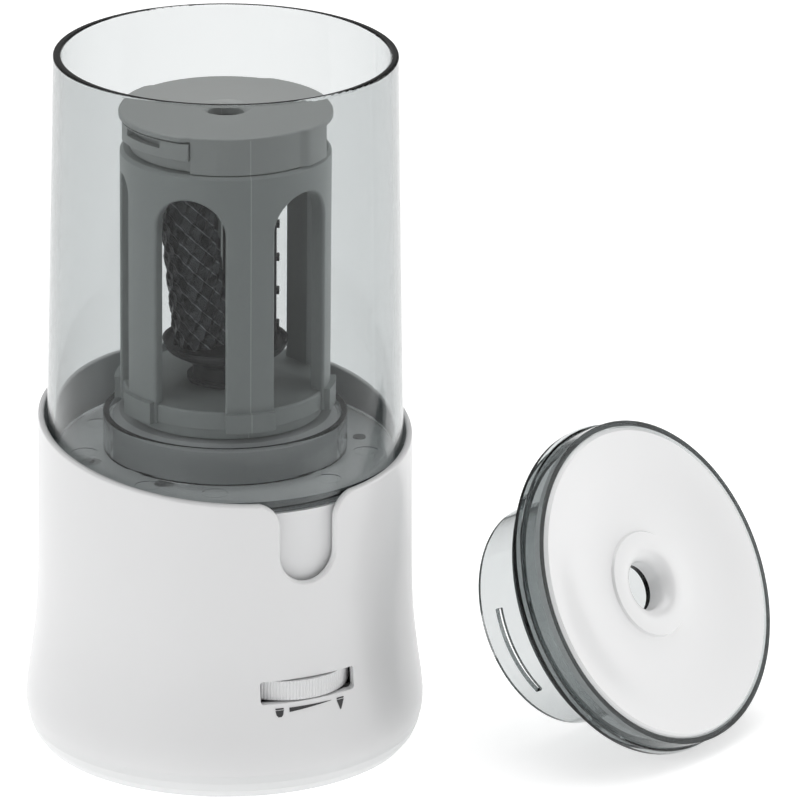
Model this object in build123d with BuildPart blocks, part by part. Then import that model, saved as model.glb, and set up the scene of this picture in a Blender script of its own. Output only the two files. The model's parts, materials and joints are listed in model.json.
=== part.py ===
from build123d import *
import math
import os

os.makedirs("parts", exist_ok=True)

# Desktop electric pencil sharpener. Millimetres, +Z up, front of the body towards -Y.
# The origin is the middle of the underside.

# ---- base shell, plate and tub
SHELL_PROFILE = [(48.8, 7.5), (49.1, 11), (48.9, 14), (48.2, 19), (47.4, 25), (46.8, 30),
                 (46.3, 37), (46.05, 46), (45.9, 60), (45.8, 75), (45.75, 95)]
SHELL_BORE_R = 44.2
RIM_MID_Z = 81.9
RIM_SLOPE = 0.128
NOTCH_WIDTH = 14.3
NOTCH_BOTTOM_Z = 55.4
NOTCH_TOP_Z = 76.6
NOTCH_SHOULDER_R = 6.5
DIAL_SLOT_WIDTH = 25.2
DIAL_SLOT_LOW_Z = 25.4
DIAL_SLOT_HIGH_Z = 31.1
PLATE_LOW_Z = 0.6
PLATE_FLOOR_Z = 3.0
PLATE_TOP_Z = 7.4
FOOT_R = 4.0
FOOT_SPOTS = [(23.7, 30.3), (-23.7, 30.3), (19.0, -32.9), (-19.0, -32.9)]
CENTRE_FOOT_R = 5.6
POST_SPOTS = [(31.4, 18.2), (-31.4, 18.2), (29.7, -20.8), (-29.7, -20.8)]
POST_R = 3.2
SCREW_R = 1.25
TUB_R = 43.5
TUB_BORE_R = 41.9
DECK_LOW_Z = 70.8
DECK_HIGH_Z = 73.0
TURRET_R = 27.4
TURRET_TOP_Z = 85.2

# ---- shavings container
CONTAINER_TOP_Z = 175.5
CONTAINER_TOP_R = 41.6
CONTAINER_LOW_R = 43.6
CONTAINER_WALL = 2.0
FLOOR_LOW_Z = 73.4
FLOOR_HIGH_Z = 75.9
COLLAR_R = 29.9
COLLAR_BORE_R = 28.3

# ---- cutter unit
CAGE_TURN = -102.4            # direction of the front strut, degrees round from +X
CAGE_R = 25.6
CAGE_BORE_R = 21.95
CAGE_LOW_Z = 85.6
CAGE_FOOT_Z = 88.0
CAGE_FLOOR_Z = 92.8
CAGE_FLOOR_R = 24.9
FOOT_BLOCK_R = 27.0
ARCH_TOP_Z = 146.1
CAGE_TOP_Z = 152.5
CAP_LIP_LOW_Z = 160.7
CAP_TOP_Z = 162.0
CAP_R = 25.9
CAP_DRUM_R = 23.2
CAP_BLOCK_R = 24.9
PENCIL_BORE_R = 4.4

# ---- cutter, its carrier and the ring gear it rolls in
CUTTER_SIDE = 195.5           # direction in which the cutter leans out, degrees round from +X
CUTTER_TILT = 7.5
CUTTER_R = 7.0
CUTTER_FLUTES = 11
CUTTER_TWIST = -7.1           # degrees per millimetre
CUTTER_LENGTH = 41.4
RING_TEETH = 43
PINION_TEETH = 12
RING_PITCH_R = 19.4
RING_MID_Z = 152.0
RING_HEIGHT = 4.4
PINION_HEIGHT = 3.8
CARRIER_HEAD_Z = 147.0
JOURNAL_R = 8.0

# ---- drive train
MODULE = 0.5
MOTOR_X = -22.0
MOTOR_Y = -2.0
MOTOR_R = 13.85
IDLER_X = -13.01
IDLER_Y = 5.16
MOTOR_TEETH = 10
IDLER_BIG_TEETH = 36
IDLER_SMALL_TEETH = 12
OUTPUT_TEETH = 44
ROD_R = 1.5
RUNNING_GAP = 0.06

# ---- point-fineness dial
DIAL_Y = -31.0
DIAL_R = 16.5
DIAL_RIB_DEPTH = 0.18
DIAL_RIBS = 126
DIAL_LOW_Z = 25.8
DIAL_HIGH_Z = 30.7
CAM_STEPS = 5
CAM_STEP_ANGLE = 24.0
CAM_RISE = 0.4

# ---- batteries
CELL_SPOTS = [(7.4, 16.5), (-7.4, 16.5), (7.4, 31.1), (-7.4, 31.1)]
CELL_R = 7.1
DOOR_HALF_WIDTH = 17.0
DOOR_FRONT_Y = 8.4

# ---- lid, resting on the floor beside the body
LID_X = 93.9
LID_Y = -49.8
LID_TURN = 24.66              # the lid's axis points this far round from the front towards +X
LID_FLANGE_R = 41.8
LID_FLANGE_LOW = -8.2
LID_BAND_R = 41.0
LID_COLLAR_R = 28.0
LID_COLLAR_BORE_R = 26.6
LID_COLLAR_END = -34.0

BASE = (Align.CENTER, Align.CENTER, Align.MIN)


def cos_deg(angle):
    return math.cos(math.radians(angle))


def sin_deg(angle):
    return math.sin(math.radians(angle))


def tube(r_outer, r_inner, z_low, z_high, x=0, y=0, mode=Mode.ADD):
    """Add a ring, or a plain disc when r_inner is 0, standing on z_low."""
    with BuildSketch(Plane.XY.offset(z_low)) as flat:
        with Locations((x, y)):
            Circle(r_outer)
            if r_inner > 0:
                Circle(r_inner, mode=Mode.SUBTRACT)
    extrude(flat.sketch, amount=z_high - z_low, mode=mode)


def hole(radius, z_low, z_high, x=0, y=0):
    tube(radius, 0, z_low, z_high, x, y, Mode.SUBTRACT)


def block(x_low, x_high, y_low, y_high, z_low, z_high, mode=Mode.ADD):
    with Locations(((x_low + x_high) / 2, (y_low + y_high) / 2, z_low)):
        Box(x_high - x_low, y_high - y_low, z_high - z_low, align=BASE, mode=mode)


def turned(points, mode=Mode.ADD, plane=Plane.XZ):
    """Revolve a closed outline of (radius, height) points about the plane's own upright axis."""
    with BuildSketch(plane) as half:
        with BuildLine():
            Polyline(*points, close=True)
        make_face()
    revolve(half.sketch, axis=Axis(plane.origin, plane.y_dir), mode=mode)


def sector(r_outer, r_inner, middle, half_angle, z_low, z_high, mode=Mode.ADD):
    """Add a piece of a ring that spans half_angle on each side of the direction middle."""
    start = middle - half_angle
    end = middle + half_angle
    with BuildSketch(Plane.XY.offset(z_low)) as flat:
        with BuildLine():
            CenterArc((0, 0), r_outer, start, 2 * half_angle)
            CenterArc((0, 0), r_inner, start, 2 * half_angle)
            for angle in (start, end):
                Line((r_inner * cos_deg(angle), r_inner * sin_deg(angle)),
                     (r_outer * cos_deg(angle), r_outer * sin_deg(angle)))
        make_face()
    extrude(flat.sketch, amount=z_high - z_low, mode=mode)


def gear_outline(teeth, module, addendum, dedendum, backlash, phase=0.0, scale=1.0):
    """Return the outline of an involute gear as points; one tooth is centred on phase."""
    pitch_r = teeth * module / 2
    base_r = pitch_r * cos_deg(20)
    tip_r = pitch_r + addendum
    root_r = pitch_r - dedendum
    involute_20 = math.tan(math.radians(20)) - math.radians(20)
    half_pitch = math.pi / (2 * teeth) - backlash / (2 * pitch_r)
    flank = []
    flank_steps = 4
    for step in range(flank_steps + 1):
        radius = max(root_r, base_r) + (tip_r - max(root_r, base_r)) * step / flank_steps
        pressure = math.acos(min(1.0, base_r / radius))
        flank.append((radius, half_pitch + involute_20 - (math.tan(pressure) - pressure)))
    if root_r < base_r:
        flank.insert(0, (root_r, flank[0][1]))
    outline = []
    for tooth in range(teeth):
        centre = math.radians(phase) + 2 * math.pi * tooth / teeth
        for radius, half in flank:
            outline.append((radius, centre - half))
        for radius, half in reversed(flank):
            outline.append((radius, centre + half))
    return [(scale * r * math.cos(a), scale * r * math.sin(a)) for r, a in outline]


def spur_gear(teeth, phase, z_low, z_high, x, y):
    """Add a stub-tooth spur gear of the drive train."""
    points = gear_outline(teeth, MODULE, 0.6 * MODULE, 0.85 * MODULE, 0.14, phase)
    with BuildSketch(Plane.XY.offset(z_low)) as flat:
        with BuildLine():
            Polyline(*[(x + px, y + py) for px, py in points], close=True)
        make_face()
    extrude(flat.sketch, amount=z_high - z_low)


def bevelled(planes, outlines, mode=Mode.ADD):
    """Add a solid ruled between outlines, one on each plane."""
    faces = []
    for plane, points in zip(planes, outlines):
        with BuildSketch(plane) as flat:
            with BuildLine():
                Polyline(*points, close=True)
            make_face()
        faces.append(flat.sketch)
    loft(faces, ruled=True, mode=mode)


def keep(part, name):
    """Label a finished piece and write its file."""
    part.label = name
    export_step(part, f"parts/{name}.step")


# ====================================================================== base shell
with BuildPart() as base_shell:
    with BuildSketch(Plane.XZ):
        with BuildLine():
            Spline(*SHELL_PROFILE)
            Polyline(SHELL_PROFILE[-1], (SHELL_BORE_R, 95), (SHELL_BORE_R, 38), (46.9, 12),
                     (46.9, 7.5), SHELL_PROFILE[0])
        make_face()
    revolve(axis=Axis.Z)
    # finger notch, with shoulders rounded over into the rim
    with BuildSketch(Plane.XZ.offset(35)):
        with Locations((0, NOTCH_TOP_Z - NOTCH_SHOULDER_R)):
            Rectangle(NOTCH_WIDTH + 2 * NOTCH_SHOULDER_R, 30, align=(Align.CENTER, Align.MIN))
        for side in (-1, 1):
            with Locations((side * (NOTCH_WIDTH / 2 + NOTCH_SHOULDER_R),
                            NOTCH_TOP_Z - NOTCH_SHOULDER_R)):
                Circle(NOTCH_SHOULDER_R, mode=Mode.SUBTRACT)
        with Locations((0, NOTCH_BOTTOM_Z + NOTCH_WIDTH / 2)):
            Rectangle(NOTCH_WIDTH, 40, align=(Align.CENTER, Align.MIN))
            Circle(NOTCH_WIDTH / 2)
    extrude(amount=20, mode=Mode.SUBTRACT)
    # the rim slopes down towards the front
    rim_angle = math.atan(RIM_SLOPE)
    rim_plane = Plane(origin=(0, 0, RIM_MID_Z), x_dir=(1, 0, 0),
                      z_dir=(0, -math.sin(rim_angle), math.cos(rim_angle)))
    with Locations(rim_plane):
        Box(120, 120, 60, align=BASE, mode=Mode.SUBTRACT)
    fillet(base_shell.edges().filter_by(
        lambda e: e.center().Z > 50 and
        all(math.hypot(*tuple(e @ t)[:2]) > 45.2 for t in (0, 0.5, 1))), 0.7)
    fillet(base_shell.edges().filter_by(
        lambda e: e.center().Z > 72 and
        all(math.hypot(*tuple(e @ t)[:2]) < 44.6 for t in (0, 0.5, 1))), 0.5)
    # slot for the dial
    with BuildSketch(Plane.XZ.offset(40)):
        with Locations((0, (DIAL_SLOT_LOW_Z + DIAL_SLOT_HIGH_Z) / 2)):
            RectangleRounded(DIAL_SLOT_WIDTH, DIAL_SLOT_HIGH_Z - DIAL_SLOT_LOW_Z, 0.8)
    extrude(amount=10, mode=Mode.SUBTRACT)
keep(base_shell.part, "base_shell")

# ====================================================================== base plate
PLATE_OUTLINE = [(0, PLATE_LOW_Z), (44.2, PLATE_LOW_Z), (45.9, 1.2), (47.4, 3.2), (48.3, 5.4),
                 (48.6, PLATE_TOP_Z), (46.6, PLATE_TOP_Z), (46.2, 5.2), (45.2, PLATE_FLOOR_Z),
                 (0, PLATE_FLOOR_Z)]
TONGUE = 1.0
with BuildPart() as base_plate:
    turned(PLATE_OUTLINE)
    block(-DOOR_HALF_WIDTH - 0.3, DOOR_HALF_WIDTH + 0.3, DOOR_FRONT_Y, 60, 0, 10,
          Mode.SUBTRACT)
    block(-DOOR_HALF_WIDTH - TONGUE - 0.3, DOOR_HALF_WIDTH + TONGUE + 0.3, DOOR_FRONT_Y, 60,
          1.4, 2.5, Mode.SUBTRACT)
    for foot_x, foot_y in FOOT_SPOTS:
        hole(FOOT_R + 0.1, 0, 1.3, foot_x, foot_y)
    hole(CENTRE_FOOT_R + 0.1, 0, 1.3)
    for post_x, post_y in POST_SPOTS:
        hole(3.0, 0, 1.9, post_x, post_y)
        hole(1.5, 0, 4, post_x, post_y)
    tube(6.0, 0, PLATE_FLOOR_Z, DIAL_LOW_Z - 0.3, 0, DIAL_Y)
    tube(3.0, 0, PLATE_FLOOR_Z, 33.6, 0, DIAL_Y)
keep(base_plate.part, "base_plate")

with BuildPart() as battery_door:
    turned([(0, PLATE_LOW_Z + 0.1), (44.2, PLATE_LOW_Z + 0.1), (45.9, 1.3), (47.3, 3.3),
            (48.2, 5.4), (48.5, PLATE_TOP_Z), (46.6, PLATE_TOP_Z), (46.2, 5.2), (45.2, 2.8),
            (0, 2.8)])
    block(-DOOR_HALF_WIDTH, DOOR_HALF_WIDTH, DOOR_FRONT_Y + 0.3, 60, 0, 10, Mode.INTERSECT)
    for side in (-1, 1):
        with Locations((side * (DOOR_HALF_WIDTH + TONGUE / 2 - 0.1), 25, 1.6)):
            Box(TONGUE + 0.2, 30, 0.7, align=BASE)
    for grip in range(5):
        block(-9, 9, 30 + 2 * grip, 31 + 2 * grip, 0, 1.1, Mode.SUBTRACT)
keep(battery_door.part, "battery_door")

with BuildPart() as rubber_feet:
    for foot_x, foot_y in FOOT_SPOTS:
        tube(FOOT_R, 0, 0, 1.25, foot_x, foot_y)
    tube(CENTRE_FOOT_R, 0, 0, 1.25)
keep(rubber_feet.part, "rubber_feet")

with BuildPart() as base_screws:
    for post_x, post_y in POST_SPOTS:
        tube(2.6, 0, 0.75, 1.85, post_x, post_y)
        tube(SCREW_R, 0, 1.8, 16, post_x, post_y)
        hole(0.8, 0.7, 1.4, post_x, post_y)
keep(base_screws.part, "base_screws")

# ====================================================================== inner tub and turret
START_X = 17.0
SAFETY_X = 33.0
SAFETY_Y = -8.0
PLUNGER_R = 1.6
with BuildPart() as inner_tub:
    tube(TUB_R, TUB_BORE_R, 7.8, DECK_HIGH_Z)
    tube(46.4, TUB_R - 0.5, 7.8, 9.4)
    tube(TUB_R, 6.4, DECK_LOW_Z, DECK_HIGH_Z)
    for post_x, post_y in POST_SPOTS:
        tube(POST_R, SCREW_R, 3.3, 20, post_x, post_y)
        tube(POST_R, 0, 20, DECK_LOW_Z + 0.1, post_x, post_y)
    block(-17.3, 17.3, -60, -25, 24.4, 32.0, Mode.SUBTRACT)
    block(-17.3, 17.3, -60, -25, 7, 9.7, Mode.SUBTRACT)
    hole(PLUNGER_R + RUNNING_GAP, 70, 74, START_X, 0)
    hole(PLUNGER_R + RUNNING_GAP, 70, 74, SAFETY_X, SAFETY_Y)
    for screw_x, screw_y in [(-33.5, 5.0), (8.5, -14.0), (-24.0, -16.0)]:
        hole(1.35, 70, 74, screw_x, screw_y)
        hole(2.5, 71.6, 74, screw_x, screw_y)
    hole(2.0 + RUNNING_GAP, 70, 71.9, IDLER_X, IDLER_Y)
keep(inner_tub.part, "inner_tub")

with BuildPart() as drive_turret:
    turned([(0, TURRET_TOP_Z), (25.9, TURRET_TOP_Z), (TURRET_R, 83.6), (TURRET_R, 73.1),
            (25.6, 73.1), (25.6, 83.0), (0, 83.0)])
    tube(8.4, 0, 80.4, 83.1)
    hole(6.05, 80, 86)
    tube(PLUNGER_R + 1.6, 0, 74.2, 83.1, START_X, 0)
    hole(PLUNGER_R + RUNNING_GAP, 70, 86, START_X, 0)
    for rib_angle in (60, 120, 240, 300):
        sector(25.7, 8.3, rib_angle, 2.0, 80.6, 83.1)
keep(drive_turret.part, "drive_turret")

with BuildPart() as output_bush:
    tube(6.0, 4.0 + RUNNING_GAP, 80.4, TURRET_TOP_Z)
    tube(7.6, 4.0 + RUNNING_GAP, 79.2, 80.4)
keep(output_bush.part, "output_bush")

# ====================================================================== printed dial symbols
SYMBOL_Z = 23.1
with BuildPart() as dial_symbols:
    with BuildSketch(Plane.XZ.offset(42)):
        # blunt point on the left, its shaft cut off by a thin bar
        with BuildLine():
            Polyline((-9.2, SYMBOL_Z + 0.6), (-7.2, SYMBOL_Z + 0.6), (-7.4, SYMBOL_Z - 0.5),
                     (-7.8, SYMBOL_Z - 1.0), (-8.6, SYMBOL_Z - 1.0), (-9.0, SYMBOL_Z - 0.5),
                     close=True)
        make_face()
        with Locations((-8.2, SYMBOL_Z + 1.0)):
            Rectangle(2.0, 0.3)
        # wedge between the two
        with BuildLine():
            Polyline((-5.7, SYMBOL_Z), (-5.7, SYMBOL_Z + 1.05), (5.65, SYMBOL_Z + 1.05),
                     close=True)
        make_face()
        # sharp point on the right
        with BuildLine():
            Polyline((7.2, SYMBOL_Z + 0.65), (9.2, SYMBOL_Z + 0.65), (8.3, SYMBOL_Z - 1.8),
                     (8.1, SYMBOL_Z - 1.8), close=True)
        make_face()
        with Locations((8.2, SYMBOL_Z + 1.05)):
            Rectangle(2.0, 0.3)
    extrude(amount=9)
    with BuildSketch(Plane.XZ) as skin:
        with BuildLine():
            Spline(*[(r + 0.02, z) for r, z in SHELL_PROFILE])
            Spline(*[(r + 0.14, z) for r, z in SHELL_PROFILE])
            for r, z in (SHELL_PROFILE[0], SHELL_PROFILE[-1]):
                Line((r + 0.02, z), (r + 0.14, z))
        make_face()
    revolve(skin.sketch, axis=Axis.Z, mode=Mode.INTERSECT)
keep(dial_symbols.part, "dial_symbols")

# ====================================================================== shavings container
with BuildPart() as container_wall:
    turned([(CONTAINER_TOP_R, CONTAINER_TOP_Z), (CONTAINER_LOW_R, 82), (CONTAINER_LOW_R, FLOOR_LOW_Z),
            (CONTAINER_LOW_R - CONTAINER_WALL, FLOOR_LOW_Z), (CONTAINER_LOW_R - CONTAINER_WALL, 82),
            (CONTAINER_TOP_R - CONTAINER_WALL, CONTAINER_TOP_Z)])
    fillet(container_wall.edges().filter_by(lambda e: e.center().Z > 170), 0.6)
    for tab_angle in (90, 210, 330):
        sector(CONTAINER_LOW_R + 0.3, CONTAINER_LOW_R - 0.5, tab_angle, 5, 73.8, 75.2)
keep(container_wall.part, "container_wall")

with BuildPart() as container_floor:
    tube(CONTAINER_LOW_R - CONTAINER_WALL - 0.05, COLLAR_BORE_R, FLOOR_LOW_Z, FLOOR_HIGH_Z)
    # shallow round ejector marks in the floor
    for mark_angle in (-148, -120, -71, -35, 30, 80, 130, 165):
        hole(3.1, FLOOR_HIGH_Z - 0.15, FLOOR_HIGH_Z + 1, 34.7 * cos_deg(mark_angle),
             34.7 * sin_deg(mark_angle))
keep(container_floor.part, "container_floor")

with BuildPart() as floor_collar:
    tube(COLLAR_R, COLLAR_BORE_R, FLOOR_HIGH_Z, TURRET_TOP_Z)
    fillet(floor_collar.edges().filter_by(lambda e: e.center().Z > 85), 0.5)
keep(floor_collar.part, "floor_collar")

# ====================================================================== cutter cage
MAIN_WINDOWS = [CAGE_TURN + turn for turn in (-34, 34, 146, 214)]
SIDE_WINDOWS = [CAGE_TURN + turn for turn in (-90, 90)]
SIDE_STRUTS = [CAGE_TURN + turn for turn in (-113.1, -66.9, 66.9, 113.1)]
STRUT_HALF_ANGLE = 13.4
WINDOW_LOW_Z = 86.0


def window(direction, width, arch_top):
    """Cut one arched window through the cage wall."""
    wall_plane = Plane(origin=(0, 0, 0), x_dir=(-sin_deg(direction), cos_deg(direction), 0),
                       z_dir=(cos_deg(direction), sin_deg(direction), 0)).offset(12)
    with BuildSketch(wall_plane) as arch:
        with Locations((0, arch_top - width / 2)):
            Circle(width / 2)
        with Locations((0, WINDOW_LOW_Z)):
            Rectangle(width, arch_top - width / 2 - WINDOW_LOW_Z,
                      align=(Align.CENTER, Align.MIN))
    extrude(arch.sketch, amount=20, mode=Mode.SUBTRACT)


with BuildPart() as cutter_cage:
    turned([(CAGE_R, CAGE_FOOT_Z), (CAGE_R, 151.7), (24.8, CAGE_TOP_Z),
            (CAGE_BORE_R, CAGE_TOP_Z), (CAGE_BORE_R, CAGE_FOOT_Z)])
    for direction in MAIN_WINDOWS:
        window(direction, 17.3, ARCH_TOP_Z)
    for direction in SIDE_WINDOWS:
        window(direction, 8.7, ARCH_TOP_Z + 0.9)
    fillet(cutter_cage.edges().filter_by(
        lambda e: e.center().Z < 151 and e.length > 12 and
        all(math.hypot(*tuple(e @ t)[:2]) > CAGE_R - 0.05 for t in (0, 0.5, 1))), 0.6)
    # floor of the cage, narrower under it, and a foot block on every strut
    turned([(CAGE_FLOOR_R, CAGE_FOOT_Z + 0.4), (CAGE_FLOOR_R, CAGE_FLOOR_Z - 0.4),
            (CAGE_FLOOR_R - 0.4, CAGE_FLOOR_Z), (JOURNAL_R + RUNNING_GAP, CAGE_FLOOR_Z),
            (JOURNAL_R + RUNNING_GAP, CAGE_LOW_Z), (23.6, CAGE_LOW_Z), (23.6, CAGE_FOOT_Z + 0.4)])
    for direction in (CAGE_TURN, CAGE_TURN + 180):
        sector(FOOT_BLOCK_R, 22.5, direction, STRUT_HALF_ANGLE, CAGE_FOOT_Z, CAGE_FLOOR_Z)
    for direction in SIDE_STRUTS:
        sector(FOOT_BLOCK_R, 22.5, direction, STRUT_HALF_ANGLE - 2, CAGE_FOOT_Z, CAGE_FLOOR_Z + 0.6)
keep(cutter_cage.part, "cutter_cage")

# the cap's edge is wide over the sprung arms and narrow over the fixed blocks, front and back
CAP_TURN = CAGE_TURN - 1.5
CAP_BLOCK_HALF_ANGLE = 32.0
CAP_BLEND_ANGLE = 6.5
LUG_END_TURN = 56.0


def cap_edge_point(turn):
    """Return the point of the cap's edge this many degrees round from the front block."""
    from_block = min(abs(turn % 360 - middle) for middle in (0, 180, 360))
    blend = min(1.0, max(0.0, (from_block - CAP_BLOCK_HALF_ANGLE) / CAP_BLEND_ANGLE))
    radius = CAP_BLOCK_R + (CAP_R - CAP_BLOCK_R) * (1 - math.cos(math.pi * blend)) / 2
    return (radius * cos_deg(CAP_TURN + turn), radius * sin_deg(CAP_TURN + turn))


def cap_slab(z_low, z_high):
    """Add a slab with the cap's outline."""
    with BuildSketch(Plane.XY.offset(z_low)) as flat:
        with BuildLine():
            Spline(*[cap_edge_point(3 * step) for step in range(120)], periodic=True)
        make_face()
    extrude(flat.sketch, amount=z_high - z_low)


with BuildPart() as cage_cap:
    cap_slab(CAGE_TOP_Z + 0.3, CAP_LIP_LOW_Z + 0.1)
    # the slab stays only as the fixed blocks and the lugs beside them
    arm_gap_middle = (LUG_END_TURN + 180 - CAP_BLOCK_HALF_ANGLE) / 2
    arm_gap_half = (180 - CAP_BLOCK_HALF_ANGLE - LUG_END_TURN) / 2
    for direction in (CAP_TURN + arm_gap_middle, CAP_TURN + arm_gap_middle + 180):
        sector(30, CAP_DRUM_R, direction, arm_gap_half, CAGE_TOP_Z, CAP_LIP_LOW_Z, Mode.SUBTRACT)
    hole(CAGE_BORE_R - 0.05, CAGE_TOP_Z, CAP_LIP_LOW_Z)
    # sprung arms with slots
    for direction in (CAGE_TURN - 62.3, CAGE_TURN + 117.7):
        sector(25.7, 23.9, direction, 26.7, 156.0, 160.3)
        sector(25.7, 22.8, direction + 24.2, 4.2, 156.0, 160.3)
        sector(27, 23.5, direction - 3.2, 14.2, 158.3, 160.0, Mode.SUBTRACT)
    # top plate with a soft edge
    cap_slab(CAP_LIP_LOW_Z, CAP_TOP_Z)
    fillet(cage_cap.faces().sort_by(Axis.Z)[-1].edges(), 0.5)
    tube(9.0, 0, 156.4, CAP_LIP_LOW_Z + 0.1)
    # bore for the pencil, bearing for the carrier's guide tube below it
    hole(PENCIL_BORE_R, 150, 170)
    hole(6.4 + RUNNING_GAP, 150, 158.9)
    turned([(0, CAP_TOP_Z + 0.1), (6.3, CAP_TOP_Z + 0.1), (5.9, CAP_TOP_Z - 0.1),
            (5.2, CAP_TOP_Z - 0.5), (4.4, CAP_TOP_Z - 1.2), (0, CAP_TOP_Z - 1.2)], Mode.SUBTRACT)
keep(cage_cap.part, "cage_cap")

# ====================================================================== ring gear and pinion
RING_MODULE = 2 * RING_PITCH_R / RING_TEETH
PINION_PITCH_R = PINION_TEETH * RING_MODULE / 2
CUTTER_OFFSET = RING_PITCH_R - PINION_PITCH_R
APEX_Z = RING_MID_Z - CUTTER_OFFSET / math.tan(math.radians(CUTTER_TILT))
CUTTER_X_DIR = (cos_deg(CUTTER_SIDE) * cos_deg(CUTTER_TILT),
                sin_deg(CUTTER_SIDE) * cos_deg(CUTTER_TILT), -sin_deg(CUTTER_TILT))
CUTTER_AXIS = (cos_deg(CUTTER_SIDE) * sin_deg(CUTTER_TILT),
               sin_deg(CUTTER_SIDE) * sin_deg(CUTTER_TILT), cos_deg(CUTTER_TILT))
RING_REACH = CUTTER_OFFSET / sin_deg(CUTTER_TILT)     # from the apex to the middle of the mesh


def cutter_plane(reach):
    """Plane square to the cutter's axis, this far along it from the apex."""
    origin = (reach * CUTTER_AXIS[0], reach * CUTTER_AXIS[1], APEX_Z + reach * CUTTER_AXIS[2])
    return Plane(origin=origin, x_dir=CUTTER_X_DIR, z_dir=CUTTER_AXIS)


def reach_of(z):
    """Distance along the cutter's axis, from the apex, of the point at height z."""
    return (z - APEX_Z) / cos_deg(CUTTER_TILT)


def cutter_disc(radius, z_low, z_high, mode=Mode.ADD):
    """Add a disc about the cutter's axis between two heights."""
    with BuildSketch(cutter_plane(reach_of(z_low))) as flat:
        Circle(radius)
    extrude(flat.sketch, amount=reach_of(z_high) - reach_of(z_low), mode=mode)


SPACE_PHASE = CUTTER_SIDE
with BuildPart() as ring_gear:
    tube(CAGE_BORE_R - 0.1, 0, RING_MID_Z - RING_HEIGHT / 2, RING_MID_Z + RING_HEIGHT / 2)
    ring_levels = [RING_MID_Z - RING_HEIGHT / 2 - 0.5, RING_MID_Z + RING_HEIGHT / 2 + 0.5]
    bevelled([Plane.XY.offset(level) for level in ring_levels],
             [gear_outline(RING_TEETH, RING_MODULE, 0.95 * RING_MODULE, 0.55 * RING_MODULE, -0.2,
                           SPACE_PHASE, (level - APEX_Z) / (RING_MID_Z - APEX_Z))
              for level in ring_levels], Mode.SUBTRACT)
keep(ring_gear.part, "ring_gear")

with BuildPart() as cutter_pinion:
    pinion_levels = [RING_REACH - PINION_HEIGHT / 2, RING_REACH + PINION_HEIGHT / 2]
    bevelled([cutter_plane(level) for level in pinion_levels],
             [gear_outline(PINION_TEETH, RING_MODULE, 0.6 * RING_MODULE, 0.8 * RING_MODULE, 0.2,
                           0.0, level / RING_REACH)
              for level in pinion_levels])
    cutter_disc(2.5, 148, 156, Mode.SUBTRACT)
keep(cutter_pinion.part, "cutter_pinion")

with BuildPart() as helical_cutter:
    section_count = 17
    first = reach_of(104.6)
    levels = [first + CUTTER_LENGTH * i / (section_count - 1) for i in range(section_count)]
    outlines = []
    for level in levels:
        turn = CUTTER_TWIST * (level - first)
        points = []
        for flute in range(CUTTER_FLUTES):
            crest = turn + 360 * flute / CUTTER_FLUTES
            for radius, step in ((CUTTER_R, 0), (CUTTER_R - 0.15, 7), (CUTTER_R - 0.85, 13)):
                points.append((radius * cos_deg(crest + step), radius * sin_deg(crest + step)))
        outlines.append(points)
    bevelled([cutter_plane(level) for level in levels], outlines)
    cutter_disc(2.45, 104.4, 153.2)
    cutter_disc(1.5 + RUNNING_GAP, 100, 160, Mode.SUBTRACT)
keep(helical_cutter.part, "helical_cutter")

# ====================================================================== cutter carrier
POST_TURNS = (CUTTER_SIDE + 180 - 43, CUTTER_SIDE + 180 + 43)
with BuildPart() as cutter_carrier:
    turned([(0, CAGE_LOW_Z + 0.4), (JOURNAL_R, CAGE_LOW_Z + 0.4), (JOURNAL_R, 97.6), (9.6, 99.0),
            (12.4, 99.9), (14.2, 101.0), (15.2, 102.4), (15.4, 103.4), (14.7, 103.4), (14.4, 102.3),
            (0, 102.3)])
    tube(9.4, JOURNAL_R - 0.2, CAGE_FLOOR_Z + 0.4, CAGE_FLOOR_Z + 1.4)
    # socket for the drive dog, passage for the tip stop
    with BuildSketch(Plane.XY.offset(85)):
        RegularPolygon(5.6, 6)
    extrude(amount=5.6, mode=Mode.SUBTRACT)
    hole(ROD_R + 0.35, 85, 104)
    # posts up to the head, with short ribs on their outer faces
    for direction in POST_TURNS:
        sector(12.4, 9.4, direction, 9, 102.0, CARRIER_HEAD_Z + 0.1)
        for rib_z in (106.5, 115.0, 123.5, 132.0):
            sector(13.1, 12.0, direction, 6, rib_z, rib_z + 1.3)
    sector(9.8, 7.4, CUTTER_SIDE + 180, 40, 102.0, CARRIER_HEAD_Z + 0.1)
    # head disc and the guide tube for the pencil
    tube(20.6, 4.7, CARRIER_HEAD_Z, 149.2)
    tube(6.4, 4.7, 149.1, 158.5)
    cutter_disc(2.8, 146, 150.5, Mode.SUBTRACT)
    # seat of the cutter's axle in the bowl
    cutter_disc(1.45, 99.2, 104, Mode.SUBTRACT)
keep(cutter_carrier.part, "cutter_carrier")

with BuildPart() as carrier_cap:
    tube(17.6, 6.45, 154.8, 155.7)
    tube(8.2, 6.45, 155.6, 156.1)
    cutter_disc(1.55, 150, 160, Mode.SUBTRACT)
keep(carrier_cap.part, "carrier_cap")

with BuildPart() as cutter_axle:
    cutter_disc(1.5, 102.9, 155.4)
    cutter_disc(1.4, 99.4, 103.0)
keep(cutter_axle.part, "cutter_axle")

# ====================================================================== drive train
LEVEL_A = (60.2, 64.2)
LEVEL_B = (65.2, 69.8)
motor_to_idler = math.degrees(math.atan2(IDLER_Y - MOTOR_Y, IDLER_X - MOTOR_X))
idler_to_output = math.degrees(math.atan2(-IDLER_Y, -IDLER_X))

with BuildPart() as motor_can:
    tube(MOTOR_R, MOTOR_R - 1.0, 23, 56, MOTOR_X, MOTOR_Y)
    tube(MOTOR_R, 1.0 + RUNNING_GAP, 54.8, 56, MOTOR_X, MOTOR_Y)
    tube(5.0, 1.0 + RUNNING_GAP, 55.9, 57.6, MOTOR_X, MOTOR_Y)
keep(motor_can.part, "motor_can")

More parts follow.
